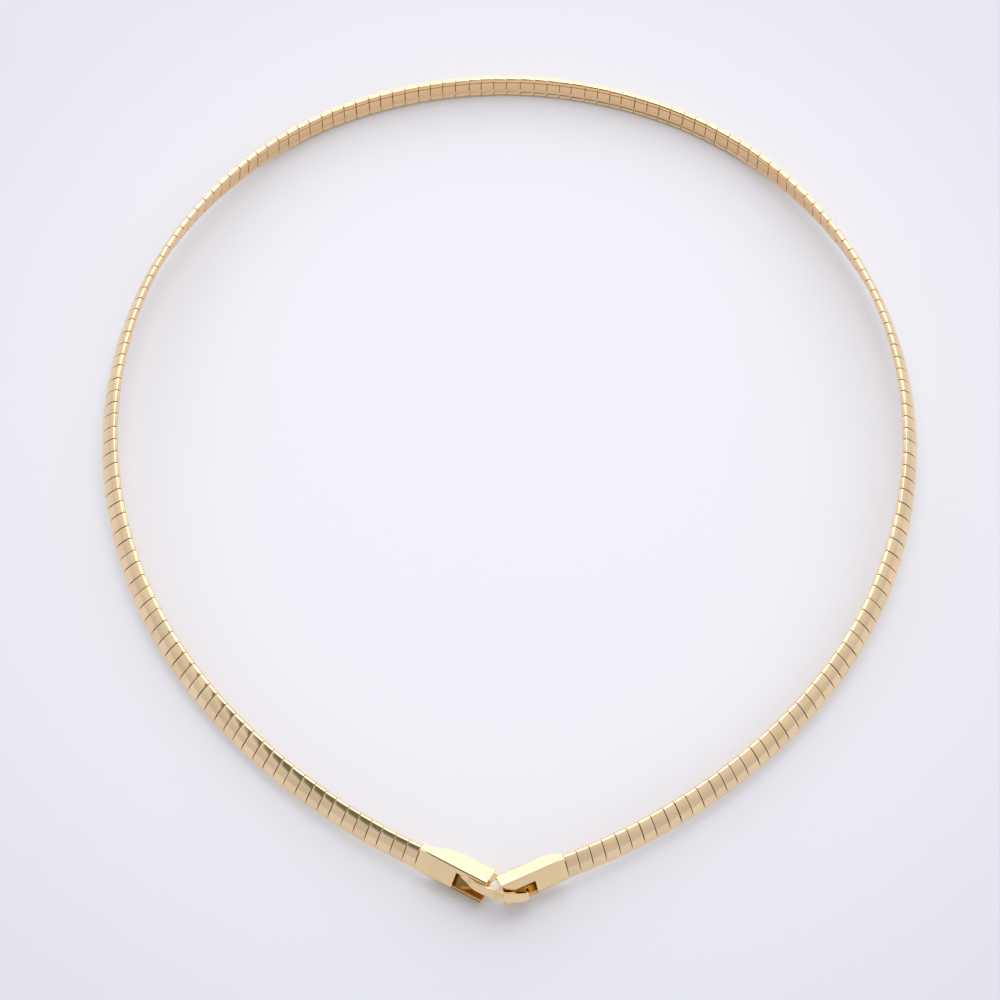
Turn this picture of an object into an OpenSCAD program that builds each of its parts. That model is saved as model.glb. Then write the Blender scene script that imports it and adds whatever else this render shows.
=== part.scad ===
// Rigid collar of narrow domed plates threaded side by side on a flat core,
// closed at the front by two sleeve caps: a finger on one hooks into a window of the other.
// It lies as it would on a table: +Z up, back at +Y, clasp at -Y.

/* [Plates] */
// Width of the band, from its lower rim to its upper rim
plate_w = 4.3; // [3.8:0.1:4.7]
// Thickness of a plate, from its flat back to the crown of its face
plate_t = 1.3; // [1.25:0.05:1.6]
// Radius of the gentle dome of a plate's face
face_r = 4.9; // [4.4:0.1:5.6]
// Radius of the shoulders, where the face turns over
shoulder_r = 0.3; // [0.25:0.05:0.4]
// Thickness of the rolled rims
rim_t = 1.0; // [0.9:0.05:1.1]
// How far the back wall lies inside the rolled rims
back_inset = 0.12; // [0.06:0.02:0.16]
// Thickness of the back wall
back_wall = 0.26; // [0.22:0.02:0.3]
// Mean distance from plate to plate
plate_pitch = 2.2; // [1.9:0.1:2.6]
// Gap between neighbouring plates, on the middle line
plate_gap = 0.2; // [0.18:0.01:0.26]
// Groove between each rim and the back wall
groove = 0.12; // [0.08:0.02:0.16]

/* [Core] */
// Width of the flat core strip
core_w = 2.0; // [1.6:0.1:2.2]
// Thickness of the core strip
core_t = 0.25; // [0.2:0.01:0.28]
// Clearance round the core, in the plates and in the caps
core_gap = 0.12; // [0.11:0.01:0.14]
// How far the core reaches into each cap
core_reach = 2.4; // [1.6:0.2:2.8]

/* [Clasp] */
// Angle that the two caps stand at, seen from above
clasp_angle = 126; // [123:1:128]
// Lean of the caps' faces, looking up from level
cap_lean = 33; // [31:1:35]
// Length of the cap with the hook finger
hook_cap_l = 11.5; // [11.2:0.1:11.6]
// Length of the cap that the finger catches
catch_cap_l = 10.6; // [10.4:0.1:10.7]
// Width of the caps
cap_w = 5.1; // [4.9:0.1:5.3]
// How far a cap's face stands out past the plates' crowns
cap_proud = 0.2; // [0.15:0.05:0.3]
// Depth of the hook cap behind the plates' backs, where it is full width
hook_hip = 1.7; // [1.5:0.1:1.8]
// Depth of the hook cap behind the plates' backs, at its tip
hook_depth = 2.5; // [2.4:0.1:2.7]
// Depth of the catch cap behind the plates' backs, where it is full width
catch_hip = 0.8; // [0.7:0.05:0.9]
// Depth of the catch cap behind the plates' backs, at its tip
catch_depth = 1.3; // [1.2:0.05:1.35]
// Wall of the caps
cap_wall = 0.4; // [0.34:0.02:0.46]
// Corner radius of the caps
cap_r = 0.5; // [0.4:0.05:0.6]
// Radius of the full corner at the lower edge of the caps' faces
cap_belly = 1.6; // [1.4:0.1:1.7]
// Gap between the end of the band and a cap's mouth
mouth_gap = 0.14; // [0.12:0.01:0.18]
// Length over which a cap grows from the band's size to its own
flare_l = 2.6; // [2.2:0.1:3.2]
// Length over which the hook cap's back grows
hip_l = 4.8; // [4.4:0.1:5]
// Solid stretch of the catch cap at its mouth
plug_l = 3.0; // [2.9:0.1:3.4]
// Length of the open window in the hook cap's face
hook_window_l = 5; // [4.8:0.1:5.3]
// Length of the window in the catch cap's face
catch_window_l = 4; // [3.9:0.1:4.3]
// Face left between the catch cap's window and its tip
catch_bar = 1.3; // [1.1:0.1:1.5]
// Face left above the hook cap's window
hook_lintel = 1.1; // [1:0.1:1.2]
// Face left above the catch cap's window
catch_lintel = 1.9; // [1.8:0.1:2]
// Length of the pointed tab on the hook cap's back wall
tab_l = 1.3; // [1.1:0.1:1.4]
// Width of the tab at its root
tab_w = 2.0; // [1.6:0.1:2.2]

/* [Finger] */
// Width of the hook finger where it crosses between the caps
finger_w = 1.6; // [1.5:0.1:1.8]
// Thickness of the hook finger
finger_t = 0.45; // [0.4:0.05:0.5]
// Clearance between the finger and the catch cap
finger_gap = 0.2; // [0.15:0.05:0.3]

/* [Hidden] */
$fn = 48;
gold = [0.86, 0.74, 0.5];
deep_gold = [0.8, 0.6, 0.25];

// Route of the band's middle line, one half, from the back centre to the clasp:
// x, y, height of the lower rim, lean of the face. Control points of a smooth curve.
ROUTE = [
  [0, 75.3, 0, -8],
  [22.5, 71.3, 0, -9],
  [40, 62.3, 0, -5],
  [54, 46.8, 2, 8],
  [63.5, 26.8, 4, 26],
  [66.5, 0.8, 4.5, 30],
  [59, -26.7, 1.5, 37],
  [40.5, -50.2, 1, 42],
  [12.5, -69.7, 1.8, 34],
  [-28, -80.2, 2, 22],
];
// Plates that the band has fewer on the hook's side, where the longer cap takes their place
hook_short = 1;
// How the spacing varies over each four plates, as shares of the pitch
RHYTHM = [1.09, 1, 0.98, 0.93];
// Steps in which the route is measured, and half of the stretch that gives its direction
route_steps = 96;
probe = 0.01;

function unit(v) = v / norm(v);
function level(v) = unit([v[0], v[1], 0]);

// Curve through four neighbouring control points at share f of the middle stretch
function spline4(a, b, c, d, f) =
  (pow(1 - f, 3) * a + (3 * pow(f, 3) - 6 * f * f + 4) * b
   + (1 - 3 * pow(f, 3) + 3 * f * f + 3 * f) * c + pow(f, 3) * d) / 6;

// Route with the mirrored point before the back centre
guide = concat([[-ROUTE[1][0], ROUTE[1][1], ROUTE[1][2], ROUTE[1][3]]], ROUTE);
spans = len(guide) - 3;
function route_at(u) =
  let (i = min(floor(u), spans - 1), f = u - i)
  spline4(guide[i], guide[i + 1], guide[i + 2], guide[i + 3], f);

// Middle of the section above the floor: rim radius, then up the leaning face
rim_r = rim_t / 2;
rim_at = plate_w / 2 - rim_r;
function middle(q) = [q[0], q[1], q[2] + rim_r + rim_at * cos(q[3])];

// A frame is [middle, outward, up across the face], at route place u
function frame_of(p, along, lean) =
  let (n = level([-along[1], along[0], 0]), v = unit(cross(along, n)),
       up = v[2] < 0 ? -v : v)
  [p, cos(lean) * n + sin(lean) * up, cos(lean) * up - sin(lean) * n];
function frame_at(u) =
  let (a = middle(route_at(max(u - probe, 0))), b = middle(route_at(min(u + probe, spans))),
       q = route_at(u), along = u < probe ? [1, 0, 0] : b - a)
  frame_of(middle(q), along, q[3]);

// Length of the route up to each step, and the place at a given length
marks = [for (i = [0 : route_steps]) spans * i / route_steps];
steps = [for (i = [0 : route_steps - 1])
  norm(middle(route_at(marks[i + 1])) - middle(route_at(marks[i])))];
lengths = [for (i = 0, s = 0; i <= route_steps; s = s + (i < route_steps ? steps[i] : 0), i = i + 1) s];
half_l = lengths[route_steps];
function place_at(s) = lookup(s, [for (i = [0 : route_steps]) [lengths[i], marks[i]]]);

// Lengths along the route at which the gaps between plates lie
per_half = round(half_l / plate_pitch);
shares = [for (i = [0 : per_half - 1]) RHYTHM[i % len(RHYTHM)]];
share_sums = [for (i = 0, s = 0; i <= per_half; s = s + (i < per_half ? shares[i] : 0), i = i + 1) s];
gaps = [for (s = share_sums) half_l * s / share_sums[per_half]];
joint_frames = [for (s = gaps) frame_at(place_at(s))];

// Crown of a plate's face and flat of its back, out from the middle line
crown = plate_t - rim_r + back_inset;
back = -rim_r + back_inset;
// Faces and edges of the caps, out from the middle line and up the face
cap_front = crown + cap_proud;
cap_low = -cap_w / 2;
cap_high = cap_w / 2;

// The whole part is let down until its lowest rim, or the hook cap's corner, meets the floor
hook_corner_z = joint_frames[per_half - hook_short][0][2] - cap_r
  + (back - hook_depth + cap_r) * sin(cap_lean) + (cap_low + cap_r) * cos(cap_lean);
floor_z = min(hook_corner_z, min([for (f = joint_frames) f[0][2] - rim_at * f[2][2] - rim_r]));
function settled(f) = [f[0] - [0, 0, floor_z], f[1], f[2]];
joints = [for (f = joint_frames) settled(f)];

// The dome runs over this half angle into the round shoulders, which stand in front of the rims
shoulder_at = plate_w / 2 - shoulder_r;
dome_angle = asin(shoulder_at / (face_r - shoulder_r));
shoulder = crown - face_r + (face_r - shoulder_r) * cos(dome_angle);
// Slot for the core, behind the face
slot_w = core_w + 2 * core_gap;
slot_t = core_t + 2 * core_gap;
slot_mid = back + back_wall + slot_t / 2;

// Cap frames: origin at the mouth, x to the tip, y outward, z up across the face
cap_turn = 90 - clasp_angle / 2;
cap_along = [-cos(cap_turn), -sin(cap_turn), 0];
function cap_frame_at(i) = frame_of(joints[i][0] + mouth_gap * cap_along, cap_along, cap_lean);
catch_frame = cap_frame_at(per_half);
// The hook cap's frame is mirrored where it is used
hook_frame = cap_frame_at(per_half - hook_short);
function mirrored(v) = [-v[0], v[1], v[2]];
catch_axes = [cap_along, catch_frame[1], catch_frame[2]];
hook_axes = [for (a = catch_axes) mirrored(a)];
function from(start, axes, p) = start + p[0] * axes[0] + p[1] * axes[1] + p[2] * axes[2];
function in_catch(p) = from(catch_frame[0], catch_axes, p);
function in_hook(p) = from(mirrored(hook_frame[0]), hook_axes, p);

// How far a cap's mouth stands out all round the plates, and how it grows from there:
// shares of the flare's length and of the growth, and the same for the hook cap's back
mouth_edge = 0.08;
FLARE = [[0, 0], [0.5, 0.6], [1, 1]];
HIP = [[0, 0], [0.4, 0.1], [0.75, 0.75], [1, 1]];
// Places on a cap's back from its mouth to where it is full depth, as [out, along]
function hip_run(shares, depth, run) =
  [for (f = shares) [back - mouth_edge + f[1] * (mouth_edge - depth), f[0] * run]];
function reversed(list) = [for (i = [len(list) - 1 : -1 : 0]) list[i]];

// Puts a shape made with x outward, y up and z along into a frame
module in_frame(f) {
  z = cross(f[1], f[2]);
  multmatrix([
    [f[1][0], f[2][0], z[0], f[0][0]],
    [f[1][1], f[2][1], z[1], f[0][1]],
    [f[1][2], f[2][2], z[2], f[0][2]],
    [0, 0, 0, 1],
  ]) children();
}

// Section of a plate: domed face with round shoulders, rolled rims behind, flat back, slot for the core
module plate_section() {
  dome_w = 2 * face_r * sin(dome_angle);
  difference() {
    union() {
      for (side = [-1, 1]) translate([0, side * rim_at]) circle(rim_r);
      for (side = [-1, 1]) translate([shoulder, side * shoulder_at]) circle(shoulder_r);
      translate([shoulder / 2, 0]) square([abs(shoulder), plate_w], center = true);
      intersection() {
        translate([crown - face_r, 0]) circle(face_r, $fn = 96);
        translate([back, -dome_w / 2]) square([crown - back, dome_w]);
      }
    }
    translate([slot_mid, 0]) square([slot_t, slot_w], center = true);
    for (side = [-1, 1])
      translate([back, side * (rim_at - rim_r)]) square([2 * groove, groove], center = true);
  }
}

// One plate between two neighbouring joints a and b of the band
module plate(a, b) {
  f = frame_of((a[0] + b[0]) / 2, b[0] - a[0], 0);
  v = unit(a[2] + b[2]);
  along = unit(b[0] - a[0]);
  up = unit(v - (v * along) * along);
  out = cross(up, along);
  facing = out * (a[1] + b[1]) > 0 ? out : -out;
  in_frame([f[0], facing, up])
    linear_extrude(norm(b[0] - a[0]) - plate_gap, center = true) plate_section();
}

module plates_right() {
  color(gold) for (i = [0 : per_half - 1]) plate(joints[i], joints[i + 1]);
}

module plates_left() {
  color(gold) mirror([1, 0, 0]) for (i = [0 : per_half - 1 - hook_short]) plate(joints[i], joints[i + 1]);
}

// Loft through rings of corners, with flat ends
module loft(rings) {
  n = len(rings[0]);
  last = len(rings) - 1;
  polyhedron(
    points = [for (r = rings) for (p = r) p],
    faces = concat(
      [[for (k = [n - 1 : -1 : 0]) k]],
      [[for (k = [0 : n - 1]) last * n + k]],
      [for (i = [0 : last - 1]) for (k = [0 : n - 1])
        [i * n + k, i * n + (k + 1) % n, (i + 1) * n + (k + 1) % n]],
      [for (i = [0 : last - 1]) for (k = [0 : n - 1])
        [i * n + k, (i + 1) * n + (k + 1) % n, (i + 1) * n + k]]
    ),
    convexity = 10
  );
}

// Corners of the core's section in a frame
function core_ring(f) = [for (c = [[-1, -1], [-1, 1], [1, 1], [1, -1]])
  f[0] + (slot_mid + c[0] * core_t / 2) * f[1] + (c[1] * core_w / 2) * f[2]];
function mirrored_frame(f) = [for (v = f) mirrored(v)];

// Frames of the core's run from the back centre into a cap, which starts at joint last
function core_run(last, cap) = concat(
  [for (i = [1 : last]) joints[i]],
  [for (reach = [core_gap, core_reach]) [cap[0] + reach * cap_along, cap[1], cap[2]]]
);

module core_strip() {
  left = core_run(per_half - hook_short, hook_frame);
  frames = concat(
    [for (i = [len(left) - 1 : -1 : 0]) mirrored_frame(left[i])],
    [joints[0]],
    core_run(per_half, catch_frame)
  );
  color(deep_gold) loft([for (f = frames) core_ring(f)]);
}

// Section of a cap with its walls moved in by inset: square back, full lower corner of the face
module cap_section(back_at, inset) {
  front = cap_front - inset;
  belly_mid = [cap_front - cap_belly, cap_low + cap_belly];
  intersection() {
    translate([back_at, cap_low + inset]) square([front - back_at, cap_w - 2 * inset]);
    union() {
      translate(belly_mid) circle(cap_belly - inset);
      translate([back_at, belly_mid[1]]) square([front - back_at, cap_w]);
      translate([back_at, cap_low]) square([belly_mid[0] - back_at, cap_w]);
    }
  }
}

// Outside of a cap: it grows from the band's size at the mouth over the flare,
// and its back falls away from the last of its hips to tip_back at the tip
module cap_outside(cap_l, hips, tip_back) {
  depth = cap_front - tip_back;
  mouth_w = plate_w + 2 * mouth_edge;
  intersection() {
    linear_extrude(cap_l) cap_section(tip_back, 0);
    translate([(cap_front + tip_back) / 2, 0, 0]) linear_extrude(cap_l) offset(cap_r)
      square([depth - 2 * cap_r, cap_w - 2 * cap_r], center = true);
    rotate([90, 0, 0]) linear_extrude(4 * cap_w, center = true) polygon(concat(
      [for (f = FLARE) [crown + mouth_edge + f[1] * (cap_proud - mouth_edge), f[0] * flare_l]],
      [[cap_front, cap_l], [tip_back, cap_l]],
      reversed(hips)
    ));
    rotate([0, -90, 0]) linear_extrude(4 * depth, center = true) polygon(concat(
      [for (f = FLARE)
        [f[0] * flare_l, -mouth_w / 2 + f[1] * (cap_low + mouth_w / 2)]],
      [[cap_l, cap_low], [cap_l, cap_high]],
      [for (i = [len(FLARE) - 1 : -1 : 0])
        [FLARE[i][0] * flare_l, mouth_w / 2 + FLARE[i][1] * (cap_high - mouth_w / 2)]]
    ));
  }
}

// Room cut from a cap: x0 to x1 in depth, y0 to y1 up its face, z0 to z1 along it
module room(x0, x1, y0, y1, z0, z1) {
  translate([x0, y0, z0]) cube([x1 - x0, y1 - y0, z1 - z0]);
}

// Sleeve of a cap, hollow from its solid mouth stretch to end_z, with the pocket for the core
module sleeve(cap_l, hips, tip_back, solid_l, end_z) {
  hip_back = hips[len(hips) - 1][0];
  difference() {
    cap_outside(cap_l, hips, tip_back);
    intersection() {
      translate([0, 0, solid_l]) linear_extrude(end_z - solid_l) cap_section(tip_back, cap_wall);
      rotate([90, 0, 0]) linear_extrude(4 * cap_w, center = true) polygon([
        [cap_front, solid_l], [cap_front, end_z],
        [tip_back + cap_wall, end_z], [hip_back + cap_wall, solid_l],
      ]);
    }
    room(slot_mid - slot_t / 2, slot_mid + slot_t / 2, -slot_w / 2, slot_w / 2, -1, plug_l + 1);
  }
}

// Run of the finger, from its root on the hook cap to its bent end in the catch cap's window.
// Columns: distance from the cap's tip in window lengths, distance out of the face in finger
// thicknesses, height above the finger's own line in finger widths, share of the full width,
// and how far it faces as the hook cap, as the catch cap and back along the catch cap.
ON_HOOK = [
  [-0.8, -0.55, -0.3, 0.5, 1, 0, 0],
  [-0.52, -0.1, -0.45, 0.65, 1, 0, 0],
  [-0.16, 0.3, -0.62, 0.9, 1, 0, 0],
];
ON_CATCH = [
  [0.2, 0.95, 0.75, 1, 1, 1, 0],
  [-0.1, 0.75, 0.2, 1, 0.3, 1, 0],
  [-0.55, 0.5, -0.45, 1, 0, 1, 0],
  [-0.82, 0.3, -0.65, 0.9, 0, 1, -0.3],
  [-0.92, -0.8, -0.6, 0.6, 0, 0.5, -1],
  [-0.94, -1.9, -0.55, 0.5, 0, 0.1, -1],
];
root_up = cap_high - hook_lintel / 2;
over_face = cap_front + finger_gap;
FINGER = concat(
  [for (r = ON_HOOK)
    in_hook([hook_cap_l + r[0] * hook_window_l, cap_front + r[1] * finger_t, root_up + r[2] * finger_w])],
  [for (r = ON_CATCH)
    in_catch([catch_cap_l + r[0] * catch_window_l, over_face + r[1] * finger_t, r[2] * finger_w])]
);
FINGER_FACING = [for (r = concat(ON_HOOK, ON_CATCH))
  unit(r[4] * hook_axes[1] + r[5] * catch_axes[1] + r[6] * catch_axes[0])];
FINGER_SHARES = [for (r = concat(ON_HOOK, ON_CATCH)) r[3]];
// Pieces between two of its stations, and half of the stretch that gives its direction
finger_parts = 4;
finger_probe = 0.05;

// Curve through the points of a list, at place u
function through4(a, b, c, d, f) =
  (2 * b + (c - a) * f + (2 * a - 5 * b + 4 * c - d) * f * f + (3 * b - a - 3 * c + d) * pow(f, 3)) / 2;
function along_list(list, u) =
  let (n = len(list), i = min(floor(u), n - 2), f = u - i,
       before = i == 0 ? 2 * list[0] - list[1] : list[i - 1],
       after = i + 2 > n - 1 ? 2 * list[n - 1] - list[n - 2] : list[i + 2])
  through4(before, list[i], list[i + 1], after, f);

module finger() {
  n = len(FINGER);
  places = [for (i = [0 : (n - 1) * finger_parts]) i / finger_parts];
  loft([for (u = places)
    let (p = along_list(FINGER, u),
         ahead = along_list(FINGER, min(u + finger_probe, n - 1)),
         behind = along_list(FINGER, max(u - finger_probe, 0)),
         along = unit(ahead - behind),
         facing = along_list(FINGER_FACING, u),
         out = unit(facing - (facing * along) * along),
         across = cross(out, along),
         w = finger_w * along_list(FINGER_SHARES, u))
    [for (c = [[-1, -1], [1, -1], [1, 1], [-1, 1]])
      p + c[0] * finger_t / 2 * out + c[1] * w / 2 * across]]);
}

module hook_cap() {
  tip_back = back - hook_depth;
  tab_top = cap_high - cap_r;
  color(gold) union() {
    mirror([1, 0, 0]) in_frame(hook_frame) {
      difference() {
        sleeve(hook_cap_l, hip_run(HIP, hook_hip, hip_l), tip_back, hip_l, hook_cap_l + 1);
        room(cap_front - 2 * cap_wall, cap_front + 1, cap_low + cap_wall, cap_high - hook_lintel,
             hook_cap_l - hook_window_l, hook_cap_l + 1);
      }
      translate([tip_back, 0, hook_cap_l]) rotate([90, 0, 90]) linear_extrude(cap_wall) polygon([
        [tab_top - tab_w, -cap_wall], [tab_top, -cap_wall], [tab_top, tab_l], [tab_top - tab_w, 0],
      ]);
    }
    finger();
  }
}

module catch_cap() {
  color(gold) in_frame(catch_frame) difference() {
    sleeve(catch_cap_l, hip_run(FLARE, catch_hip, flare_l), back - catch_depth, plug_l,
           catch_cap_l - cap_wall);
    room(cap_front - 2 * cap_wall, cap_front + 1, cap_low + cap_wall, cap_high - catch_lintel,
         catch_cap_l - catch_bar - catch_window_l, catch_cap_l - catch_bar);
  }
}

plates_left();
plates_right();
core_strip();
hook_cap();
catch_cap();
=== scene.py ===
"""Looks of a rigid collar of domed gold plates with a two-cap hook clasp, lying on a pale floor.

Every plate is the same small sleeve: a gently domed face that turns into round shoulders,
rolled rims behind them, a flat back wall between two grooves, and a slot for the core.
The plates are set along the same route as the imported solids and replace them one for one.
"""

import math

import bmesh
import bpy
import numpy as np
from mathutils import Matrix, Vector
from mathutils.bvhtree import BVHTree


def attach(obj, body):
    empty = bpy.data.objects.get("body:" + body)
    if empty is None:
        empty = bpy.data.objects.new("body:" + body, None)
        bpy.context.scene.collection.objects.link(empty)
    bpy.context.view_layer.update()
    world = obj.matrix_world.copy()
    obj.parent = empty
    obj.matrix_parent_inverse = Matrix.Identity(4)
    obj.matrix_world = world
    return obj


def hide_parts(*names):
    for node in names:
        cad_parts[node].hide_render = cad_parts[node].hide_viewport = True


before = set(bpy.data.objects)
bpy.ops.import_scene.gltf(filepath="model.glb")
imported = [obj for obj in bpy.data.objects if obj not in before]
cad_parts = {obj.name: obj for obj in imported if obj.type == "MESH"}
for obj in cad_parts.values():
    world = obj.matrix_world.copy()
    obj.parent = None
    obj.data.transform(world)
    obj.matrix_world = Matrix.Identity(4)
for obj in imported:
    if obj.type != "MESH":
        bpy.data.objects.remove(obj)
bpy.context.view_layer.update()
MM = 0.001

# Camera, as worked out from the ring's outline in the photo: angles, distance in millimetres,
# lens as a share of the sensor, and where the frame's origin falls in a picture of IMAGE_SIZE
VIEW_ELEVATION = math.radians(63.85)
VIEW_TURN = math.radians(-1.06)
VIEW_ROLL = math.radians(2.83)
VIEW_DISTANCE = 600
FOCAL_SHARE = 3.671
IMAGE_SIZE = 1000
ORIGIN_PX = (508.9, 477.7)
SENSOR_MM = 36.0
# Nearest and farthest that it sees, in metres
SIGHT = (0.01, 10)

# Sizes of the band, in millimetres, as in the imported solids, with the gaps drawn a little finer
PLATE_W = 4.3
PLATE_T = 1.3
FACE_R = 4.9
SHOULDER_R = 0.3
RIM_R = 0.5
BACK_INSET = 0.12
BACK_WALL = 0.26
PLATE_PITCH = 2.2
PLATE_GAP = 0.11
GROOVE = 0.12
CORE_W = 2.0
CORE_T = 0.25
CORE_GAP = 0.12
# Where a rolled rim ends on the back, as an angle from the face round the rim, and how many
# points draw the dome, a shoulder and a rim
RIM_END = 215
DOME_POINTS, SHOULDER_POINTS, RIM_POINTS = 7, 7, 8

# Route of the band's middle line: x, y, height of the lower rim, lean of the face
ROUTE = [
    (0, 75.3, 0, -8),
    (22.5, 71.3, 0, -9),
    (40, 62.3, 0, -5),
    (54, 46.8, 2, 8),
    (63.5, 26.8, 4, 26),
    (66.5, 0.8, 4.5, 30),
    (59, -26.7, 1.5, 37),
    (40.5, -50.2, 1, 42),
    (12.5, -69.7, 1.8, 34),
    (-28, -80.2, 2, 22),
]
# Lengths of four neighbouring plates, as shares of the mean
RHYTHM = (1.09, 1.0, 0.98, 0.93)
# Plates that the hook's side has fewer than the catch's side
HOOK_SHORT = 1
# Steps in which the route is measured, and the half step that finds its direction
ROUTE_STEPS = 96
PROBE = 0.01

# Light tent: colours low in front, overhead, at the back wall and at the hole for the lens,
# and the strength of them all
LOW_SKY, HIGH_SKY, BACK_SKY, HOLE = "#a6a5a8", "#bbbabd", "#ffffff", "#5a5b55"
SKY_STRENGTH = 1.7
# Where those parts lie: direction, squeeze of it, and the angle's cosines where each part
# starts and is full
OVERHEAD = ((0, 0.6, 0.8), (1, 1, 1), -0.2, 0.5)
BACK_WALL_AT = ((0, 1, 0.1), (0.8, 1, 1), 0.45, 0.9)
HOLE_AT = ((-0.3, -0.5, 0.82), (0.8, 1, 1), 0.88, 0.96)
# Soft lamp above the back of the ring: place, size and power
KEY_PLACE = (0, 0.16, 0.45)
KEY_SIZE = (0.3, 0.3)
KEY_WATTS = 0.5
# Paper of the floor, in metres: paler within FLOOR_NEAR of the ring's middle than past FLOOR_FAR; this
# darkening outwards is painted shade for the tent's light falling off
FLOOR_MIDDLE, FLOOR_OUTER_SHADE = "#eeeff5", "#e1e2ea"
FLOOR_NEAR, FLOOR_FAR = 0.045, 0.125
FLOOR_HALF = 1.5
PAPER_ROUGH = 0.7

# Golds: colour of the face and of its deeper patches, and how much duller a plate may be
BAND_GOLD = ("#fde4bd", "#f4d6a6", 0.08)
CAP_GOLD = ("#fce3b7", "#f3d59f", 0)
CORE_METAL = ("#c9964a", "#a87332", 0)
# Painted light: inside the caps the gold is brighter and deeper yellow, standing in for the light that the
# gold walls of the dim hollow throw on each other
INNER_GOLD_PAINTED_LIGHT = "#fccb66"
BACK_GOLD = "#f3d0a0"
# Size of the patches and of the buffing haze, and what the haze does to the polish. Real buffing
# lines are far finer than a pixel, so the haze is drawn as coarse as it needs to show.
TONE_MM, HAZE_MM = 3.85, 1.11
POLISH = (0.05, 0.13)
HAZE_STRENGTH, HAZE_DEPTH_MM = 0.06, 0.02
INNER_ROUGH = 0.42

# Edges of the plates and of the caps, with the steps of a cap's
EDGE_ROUND = 0.07
CAP_EDGE = 0.14
EDGE_STEPS = 3
# Angles in degrees: from where a cap's edge is rounded, under which two faces are one flat,
# and over which shading shows a crease
ROUNDED_FROM, FLAT_UNDER = 11, 0.5
PLATE_CREASE, CAP_CREASE = 35, 40
EVENNESS = 90
# Points closer than this are one
MERGE_MM = 0.002
# How far a face inside a cap looks for the other side, and how many of five rays must meet it
INNER_REACH = 5.0
INNER_RAYS = 4
# Small things that a maker's hand leaves: a swell along each plate, and how far plates turn
CROWNING = 0.012
TURN_SPREAD = 0.6
SEED = 7


def unit(v):
    """Each row divided by its own length."""
    return v / np.linalg.norm(v, axis=-1, keepdims=True)


def route_at(u):
    """Cubic B-spline through the control points, at places u, with the mirrored point first."""
    rows = np.array([(-ROUTE[1][0],) + ROUTE[1][1:]] + ROUTE, float)
    spans = len(rows) - 3
    i = np.minimum(np.floor(u).astype(int), spans - 1)
    f = (u - i)[:, None]
    a, b, c, d = rows[i], rows[i + 1], rows[i + 2], rows[i + 3]
    return ((1 - f) ** 3 * a + (3 * f**3 - 6 * f**2 + 4) * b
            + (1 - 3 * f**3 + 3 * f**2 + 3 * f) * c + f**3 * d) / 6


def middle(q):
    """Middle of the section: up from the lower rim, along the leaning face."""
    rise = RIM_R + (PLATE_W / 2 - RIM_R) * np.cos(np.radians(q[:, 3]))
    return np.column_stack([q[:, 0], q[:, 1], q[:, 2] + rise])


def frames_at(u, spans):
    """Middle points, outward directions and up-the-face directions at places u."""
    q = route_at(u)
    along = middle(route_at(np.minimum(u + PROBE, spans))) - middle(route_at(np.maximum(u - PROBE, 0)))
    along[u < PROBE] = (1, 0, 0)
    level = unit(np.column_stack([-along[:, 1], along[:, 0], np.zeros(len(u))]))
    up = unit(np.cross(along, level))
    up[up[:, 2] < 0] *= -1
    lean = np.radians(q[:, 3])[:, None]
    return middle(q), np.cos(lean) * level + np.sin(lean) * up, np.cos(lean) * up - np.sin(lean) * level


def joints_of_half():
    """Frames of the gaps between plates, spaced by the rhythm over one half of the route."""
    spans = len(ROUTE) - 2
    marks = np.linspace(0, spans, ROUTE_STEPS + 1)
    points = middle(route_at(marks))
    lengths = np.concatenate([[0], np.cumsum(np.linalg.norm(np.diff(points, axis=0), axis=1))])
    count = round(lengths[-1] / PLATE_PITCH)
    shares = np.array([RHYTHM[i % len(RHYTHM)] for i in range(count)])
    gaps = lengths[-1] * np.concatenate([[0], np.cumsum(shares)]) / shares.sum()
    mid, out, up = frames_at(np.interp(gaps, lengths, marks), spans)
    mid[:, 2] -= (mid[:, 2] - (PLATE_W / 2 - RIM_R) * up[:, 2] - RIM_R).min()
    return mid, out, up


def arc(centre, radius, start, end, count):
    """Points of a circle's arc between two angles in degrees, measured from outward to up."""
    t = np.radians(np.linspace(start, end, count))
    return np.column_stack([centre[0] + radius * np.cos(t), centre[1] + radius * np.sin(t)])


def plate_outline():
    """Closed outline of a plate, out and up: dome, shoulder, rim, groove and flat back, once round."""
    rim_at = PLATE_W / 2 - RIM_R
    shoulder_at = PLATE_W / 2 - SHOULDER_R
    crown = PLATE_T - RIM_R + BACK_INSET
    back = BACK_INSET - RIM_R
    dome = math.degrees(math.asin(shoulder_at / (FACE_R - SHOULDER_R)))
    shoulder = crown - FACE_R + (FACE_R - SHOULDER_R) * math.cos(math.radians(dome))
    half = np.vstack([
        arc((crown - FACE_R, 0), FACE_R, 0, dome, DOME_POINTS)[:-1],
        arc((shoulder, shoulder_at), SHOULDER_R, dome, 90, SHOULDER_POINTS),
        arc((0, rim_at), RIM_R, 90, RIM_END, RIM_POINTS),
        [(back + GROOVE, rim_at - RIM_R + GROOVE * 0.6)],
        [(back + GROOVE, rim_at - RIM_R - GROOVE * 0.3)],
        [(back, rim_at - RIM_R - GROOVE * 0.6)],
    ])
    other = half[:0:-1] * (1, -1)
    return np.vstack([half, other])


def inset(outline, distance):
    """The outline moved inwards along its own normals by a distance."""
    ahead = np.roll(outline, -1, axis=0) - np.roll(outline, 1, axis=0)
    normal = unit(np.column_stack([ahead[:, 1], -ahead[:, 0]]))
    return outline - distance * normal


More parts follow.
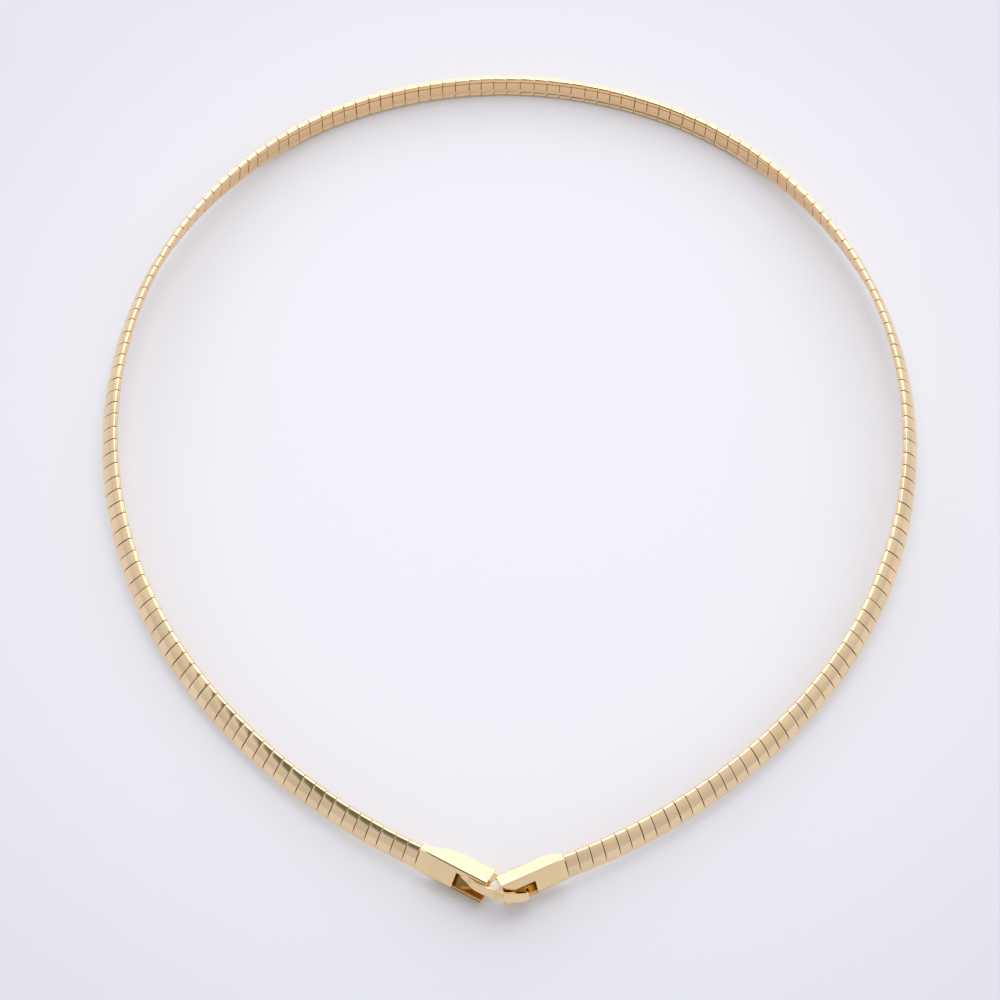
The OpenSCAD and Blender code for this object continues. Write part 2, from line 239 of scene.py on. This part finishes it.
def slot_outline(outline):
    """Points on the slot's rectangle, each in the direction of its point of the outline."""
    slot_w = CORE_W + 2 * CORE_GAP
    slot_t = CORE_T + 2 * CORE_GAP
    centre = np.array([BACK_INSET - RIM_R + BACK_WALL + slot_t / 2, 0])
    away = outline - centre
    reach = np.minimum(slot_t / 2 / np.maximum(np.abs(away[:, 0]), 1e-9),
                       slot_w / 2 / np.maximum(np.abs(away[:, 1]), 1e-9))
    return centre + away * reach[:, None]


def plate_rings():
    """Rings of one plate from end to end: place along it as a share and an offset, with its section.

    The edges are quarter circles of EDGE_ROUND, the middle stands out by CROWNING, and the
    slot's ring closes each end."""
    outline = plate_outline()
    quarter = np.radians([90, 55, 20, 0])
    rings = [(0.0, 0.0, slot_outline(outline))]
    rings += [(0.0, EDGE_ROUND * (1 - math.sin(q)), inset(outline, EDGE_ROUND * (1 - math.cos(q))))
              for q in quarter]
    for share in (0.25, 0.5, 0.75):
        rings.append((share, 0.0, inset(outline, -CROWNING * 4 * share * (1 - share))))
    rings += [(1.0, -offset, section) for _, offset, section in reversed(rings[1:5])]
    rings.append((1.0, 0.0, slot_outline(outline)))
    return rings


def band_half(name, side, short):
    """One half of the band, short of some plates: every plate's rings carried into its own frame."""
    mid, out, up = [rows[:len(rows) - short] for rows in joints_of_half()]
    start, end = mid[:-1], mid[1:]
    along = unit(end - start)
    v = unit(up[:-1] + up[1:])
    v = unit(v - (v * along).sum(1, keepdims=True) * along)
    facing = np.cross(v, along)
    facing *= np.sign((facing * (out[:-1] + out[1:])).sum(1, keepdims=True))
    rng = np.random.default_rng(SEED + side)
    turn = np.radians(rng.normal(0, TURN_SPREAD, (len(v), 1)))
    tip = np.radians(rng.normal(0, TURN_SPREAD, (len(v), 1)))
    facing, v = unit(facing + turn * v + tip * along), unit(v - turn * facing)
    along = unit(along - tip * facing)
    length = np.linalg.norm(end - start, axis=1)[:, None, None] - PLATE_GAP
    centre = (start + end)[:, None, :] / 2
    levels = []
    for share, offset, section in plate_rings():
        place = (share - 0.5) * length + offset
        levels.append(centre + place * along[:, None, :] + section[None, :, :1] * facing[:, None, :]
                      + section[None, :, 1:] * v[:, None, :])
    grid = np.stack(levels, axis=1) * MM
    grid[..., 0] *= side
    plates, rings, count, _ = grid.shape
    p, r, k = np.meshgrid(np.arange(plates), np.arange(rings), np.arange(count), indexing="ij")
    here = (p * rings + r) * count + k
    right = (p * rings + r) * count + (k + 1) % count
    ahead = (p * rings + (r + 1) % rings) * count + k
    across = (p * rings + (r + 1) % rings) * count + (k + 1) % count
    faces = np.stack([here, right, across, ahead], axis=-1).reshape(-1, 4)
    obj = grid_mesh(name, grid.reshape(-1, 3), faces)
    fix_normals(obj)
    finish(obj, PLATE_CREASE)
    point_values(obj, "plate_value", np.repeat(rng.random(plates), rings * count))
    flat = plate_outline()[:, 0] < BACK_INSET - RIM_R + GROOVE + MERGE_MM
    point_values(obj, "plate_back", np.tile(flat, plates * rings))
    return obj


def grid_mesh(name, points, faces):
    """A mesh object from an array of points and an array of faces with equal corners."""
    mesh = bpy.data.meshes.new(name)
    mesh.vertices.add(len(points))
    mesh.vertices.foreach_set("co", points.astype(np.float32).ravel())
    corners = faces.shape[1]
    mesh.loops.add(faces.size)
    mesh.loops.foreach_set("vertex_index", faces.astype(np.int32).ravel())
    mesh.polygons.add(len(faces))
    mesh.polygons.foreach_set("loop_start", np.arange(0, faces.size, corners, dtype=np.int32))
    mesh.update(calc_edges=True)
    mesh.validate()
    obj = bpy.data.objects.new(name, mesh)
    bpy.context.scene.collection.objects.link(obj)
    return obj


def fix_normals(obj):
    """Turns every face outwards."""
    bm = bmesh.new()
    bm.from_mesh(obj.data)
    bmesh.ops.recalc_face_normals(bm, faces=bm.faces)
    bm.to_mesh(obj.data)
    bm.free()


def finish(obj, angle):
    """Smooth shading with creases sharper than an angle kept, and the object hung under the root body."""
    obj.data.polygons.foreach_set("use_smooth", np.ones(len(obj.data.polygons), bool))
    obj.data.set_sharp_from_angle(angle=math.radians(angle))
    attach(obj, "root")


def point_values(obj, name, values):
    """One number per point, kept under a name for the material."""
    attribute = obj.data.attributes.new(name, "FLOAT", "POINT")
    attribute.data.foreach_set("value", values.astype(np.float32))


def linear(hex_colour):
    """A colour given as sRGB hex, turned to linear light."""
    values = [int(hex_colour[i:i + 2], 16) / 255 for i in (1, 3, 5)]
    return [v / 12.92 if v <= 0.04045 else ((v + 0.055) / 1.055) ** 2.4 for v in values] + [1.0]


def add(tree, kind, settings=None, links=None):
    """Adds a node, sets its properties or socket values, and links its inputs to given sockets."""
    node = tree.nodes.new(kind)
    for key, value in (settings or {}).items():
        if isinstance(key, str) and hasattr(node, key):
            setattr(node, key, value)
        else:
            node.inputs[key].default_value = value
    for key, socket in (links or {}).items():
        tree.links.new(socket, node.inputs[key])
    return node


def new_material(name):
    """An empty node material with its output, and the shader that feeds it."""
    material = bpy.data.materials.new(name)
    material.use_nodes = True
    tree = material.node_tree
    tree.nodes.clear()
    shader = add(tree, "ShaderNodeBsdfPrincipled")
    add(tree, "ShaderNodeOutputMaterial", links={"Surface": shader.outputs["BSDF"]})
    return material, tree, shader


def polished_gold(name, face, deep, plate_spread):
    """14 carat yellow gold plating, buffed: a mirror with faint buffing lines and slight changes of tone.

    Inside a cap, where no buff reaches, it is as rough as INNER_ROUGH, and its colour is the brighter, deeper
    inner gold: painted light for the dim hollow, whose gold walls light each other.
    The flat backs of the plates are BACK_GOLD."""
    material, tree, shader = new_material(name)
    place = add(tree, "ShaderNodeTexCoord")
    tone = add(tree, "ShaderNodeTexNoise", {"Scale": 1 / (TONE_MM * MM), "Detail": 3.0},
               {"Vector": place.outputs["Object"]})
    mixed = add(tree, "ShaderNodeMix", {"data_type": "RGBA", 6: linear(face), 7: linear(deep)},
                {0: tone.outputs["Fac"]})
    colour = mixed.outputs[2]
    if plate_spread:
        value = add(tree, "ShaderNodeAttribute", {"attribute_name": "plate_value"})
        amount = add(tree, "ShaderNodeMapRange", {"To Min": 1.0 - plate_spread, "To Max": 1.0},
                     {"Value": value.outputs["Fac"]})
        scaled = add(tree, "ShaderNodeHueSaturation", {}, {"Value": amount.outputs[0], "Color": colour})
        colour = scaled.outputs[0]
    inside = add(tree, "ShaderNodeAttribute", {"attribute_name": "inside"}).outputs["Fac"]
    back = add(tree, "ShaderNodeAttribute", {"attribute_name": "plate_back"}).outputs["Fac"]
    outer = add(tree, "ShaderNodeMix", {"data_type": "RGBA", 7: linear(BACK_GOLD)}, {0: back, 6: colour})
    # Painted light inside the caps: a brighter, deeper gold where the hollow gets little light
    gold = add(tree, "ShaderNodeMix", {"data_type": "RGBA", 7: linear(INNER_GOLD_PAINTED_LIGHT)},
               {0: inside, 6: outer.outputs[2]})
    tree.links.new(gold.outputs[2], shader.inputs["Base Color"])
    shader.inputs["Metallic"].default_value = 1.0
    haze = add(tree, "ShaderNodeTexNoise", {"Scale": 1 / (HAZE_MM * MM), "Detail": 4.0},
               {"Vector": place.outputs["Object"]})
    rough = add(tree, "ShaderNodeMapRange", {"To Min": POLISH[0], "To Max": POLISH[1]},
                {"Value": haze.outputs["Fac"]})
    matt = add(tree, "ShaderNodeMapRange", {"To Max": INNER_ROUGH},
               {"Value": inside, "To Min": rough.outputs[0]})
    tree.links.new(matt.outputs[0], shader.inputs["Roughness"])
    bump = add(tree, "ShaderNodeBump", {"Strength": HAZE_STRENGTH, "Distance": HAZE_DEPTH_MM * MM},
               {"Height": haze.outputs["Fac"]})
    tree.links.new(bump.outputs[0], shader.inputs["Normal"])
    return material


def dress(obj, material):
    """Puts one material on all of an object."""
    obj.data.materials.clear()
    obj.data.materials.append(material)


def set_camera():
    """The camera at the photo's angle, with the sheet's small shift that its framing needs."""
    e, a, r = VIEW_ELEVATION, VIEW_TURN, VIEW_ROLL
    right = Vector((math.cos(a), math.sin(a), 0))
    ahead = Vector((-math.sin(a) * math.cos(e), math.cos(a) * math.cos(e), -math.sin(e)))
    down = Vector((math.sin(a) * math.sin(e), -math.cos(a) * math.sin(e), -math.cos(e)))
    u = right * math.cos(r) - down * math.sin(r)
    v = right * math.sin(r) + down * math.cos(r)
    data = bpy.data.cameras.new("photo_view")
    data.sensor_width = SENSOR_MM
    data.lens = FOCAL_SHARE * SENSOR_MM
    data.clip_start, data.clip_end = SIGHT
    data.shift_x = 0.5 - ORIGIN_PX[0] / IMAGE_SIZE
    data.shift_y = ORIGIN_PX[1] / IMAGE_SIZE - 0.5
    camera = bpy.data.objects.new("photo_view", data)
    bpy.context.scene.collection.objects.link(camera)
    turn = Matrix((u, -v, -ahead)).transposed().to_4x4()
    camera.matrix_world = Matrix.Translation(-ahead * VIEW_DISTANCE * MM) @ turn
    bpy.context.scene.camera = camera


def card(name, centre, size, aim, strength):
    """A soft area light that faces a point."""
    data = bpy.data.lights.new(name, "AREA")
    data.shape = "RECTANGLE"
    data.size, data.size_y = size
    data.energy = strength
    light = bpy.data.objects.new(name, data)
    light.location = centre
    light.rotation_euler = (Vector(aim) - Vector(centre)).to_track_quat("-Z", "Y").to_euler()
    bpy.context.scene.collection.objects.link(light)


def toward(tree, place, direction, squeeze, start, end):
    """How far the view turns toward a direction: a soft step of the angle's cosine from start to end."""
    slim = add(tree, "ShaderNodeVectorMath", {"operation": "MULTIPLY", 1: squeeze}, {0: place})
    straight = add(tree, "ShaderNodeVectorMath", {"operation": "NORMALIZE"}, {0: slim.outputs[0]})
    aim = Vector(direction).normalized()
    turned = add(tree, "ShaderNodeVectorMath", {"operation": "DOT_PRODUCT", 1: aim}, {0: straight.outputs[0]})
    return add(tree, "ShaderNodeMapRange",
               {"interpolation_type": "SMOOTHSTEP", "From Min": start, "From Max": end},
               {"Value": turned.outputs["Value"]}).outputs[0]


def set_studio():
    """A floor of matt white paper, which shows soft shadows and no shine, in a light tent; its colour is
    painted darker away from the ring's middle, as painted shade for the tent's light falling off.

    The tent is bright behind, dimmer in front and dark at the hole that the lens looks through."""
    world = bpy.data.worlds.new("light_tent")
    bpy.context.scene.world = world
    world.use_nodes = True
    tree = world.node_tree
    tree.nodes.clear()
    place = add(tree, "ShaderNodeTexCoord").outputs["Generated"]
    front = add(tree, "ShaderNodeMix", {"data_type": "RGBA", 6: linear(LOW_SKY), 7: linear(HIGH_SKY)},
                {0: toward(tree, place, *OVERHEAD)})
    walls = add(tree, "ShaderNodeMix", {"data_type": "RGBA", 7: linear(BACK_SKY)},
                {0: toward(tree, place, *BACK_WALL_AT), 6: front.outputs[2]})
    tent = add(tree, "ShaderNodeMix", {"data_type": "RGBA", 7: linear(HOLE)},
               {0: toward(tree, place, *HOLE_AT), 6: walls.outputs[2]})
    glow = add(tree, "ShaderNodeBackground", {"Strength": SKY_STRENGTH}, {"Color": tent.outputs[2]})
    add(tree, "ShaderNodeOutputWorld", links={"Surface": glow.outputs[0]})

    corners = np.array([(-1, -1, 0), (1, -1, 0), (1, 1, 0), (-1, 1, 0)]) * FLOOR_HALF
    floor = grid_mesh("floor", corners, np.array([[0, 1, 2, 3]]))
    material, tree, shader = new_material("matt_paper_painted_falloff")
    here = add(tree, "ShaderNodeTexCoord").outputs["Object"]
    # Painted shade: the paper's colour is mixed darker away from the ring's middle, where the tent's light
    # falls off
    away = add(tree, "ShaderNodeVectorMath", {"operation": "LENGTH"}, {0: here}).outputs["Value"]
    share = add(tree, "ShaderNodeMapRange",
                {"interpolation_type": "SMOOTHSTEP", "From Min": FLOOR_NEAR, "From Max": FLOOR_FAR},
                {"Value": away})
    paper = add(tree, "ShaderNodeMix",
                {"data_type": "RGBA", 6: linear(FLOOR_MIDDLE), 7: linear(FLOOR_OUTER_SHADE)},
                {0: share.outputs[0]})
    tree.links.new(paper.outputs[2], shader.inputs["Base Color"])
    shader.inputs["Roughness"].default_value = PAPER_ROUGH
    dress(floor, material)
    card("key", KEY_PLACE, KEY_SIZE, (0, 0, 0), KEY_WATTS)


def mark_inside(obj):
    """One number per face: 1 where most of it looks at the same solid all round, 0 elsewhere.

    From the middle of each triangle, five rays go out: along the normal and leaning four ways."""
    mesh = obj.data
    tree = BVHTree.FromPolygons([v.co for v in mesh.vertices], [p.vertices for p in mesh.polygons])
    mesh.calc_loop_triangles()
    hidden = np.zeros(len(mesh.polygons))
    for triangle in mesh.loop_triangles:
        side = triangle.normal.orthogonal().normalized()
        other = triangle.normal.cross(side)
        corner_sum = sum((mesh.vertices[i].co for i in triangle.vertices), Vector())
        start = corner_sum / 3 + triangle.normal * MERGE_MM * MM
        rays = [triangle.normal + lean for lean in (Vector(), side, -side, other, -other)]
        hits = sum(tree.ray_cast(start, ray.normalized(), INNER_REACH * MM)[0] is not None for ray in rays)
        hidden[triangle.polygon_index] += triangle.area * (1 if hits >= INNER_RAYS else -1)
    attribute = mesh.attributes.new("inside", "FLOAT", "FACE")
    attribute.data.foreach_set("value", (hidden > 0).astype(np.float32))


def rounded_copy(name):
    """A node's solid with its doubled points merged and its sharp edges rounded, in the node's place."""
    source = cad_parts[name]
    mesh = bpy.data.meshes.new("soft_" + name)
    bm = bmesh.new()
    bm.from_mesh(source.data)
    bmesh.ops.remove_doubles(bm, verts=bm.verts, dist=MERGE_MM * MM)
    bmesh.ops.dissolve_limit(bm, angle_limit=math.radians(FLAT_UNDER), verts=bm.verts, edges=bm.edges)
    bmesh.ops.recalc_face_normals(bm, faces=bm.faces)
    bm.to_mesh(mesh)
    bm.free()
    obj = bpy.data.objects.new("soft_" + name, mesh)
    obj.matrix_world = source.matrix_world
    bpy.context.scene.collection.objects.link(obj)
    mark_inside(obj)
    soft = obj.modifiers.new("soft_edges", "BEVEL")
    soft.width = CAP_EDGE * MM
    soft.segments = EDGE_STEPS
    soft.limit_method = "ANGLE"
    soft.angle_limit = math.radians(ROUNDED_FROM)
    finish(obj, CAP_CREASE)
    even = obj.modifiers.new("even_shading", "WEIGHTED_NORMAL")
    even.keep_sharp = True
    even.weight = EVENNESS
    return obj


def main():
    """Sets the studio, makes the band and dresses every node."""
    set_camera()
    set_studio()
    band_gold = polished_gold("buffed_gold_plate", *BAND_GOLD)
    cap_gold = polished_gold("buffed_gold_caps", *CAP_GOLD)
    core_metal = polished_gold("rolled_brass_strip", *CORE_METAL)
    for name, side, short in (("plates_left", -1, HOOK_SHORT), ("plates_right", 1, 0)):
        half = band_half("band_" + name.split("_")[1], side, short)
        dress(half, band_gold)
        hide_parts(name)
    dress(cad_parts["core_strip"], core_metal)
    for name in ("hook_cap", "catch_cap"):
        cap = rounded_copy(name)
        dress(cap, cap_gold)
        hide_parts(name)


main()
bpy.context.scene.view_settings.view_transform = "Standard"
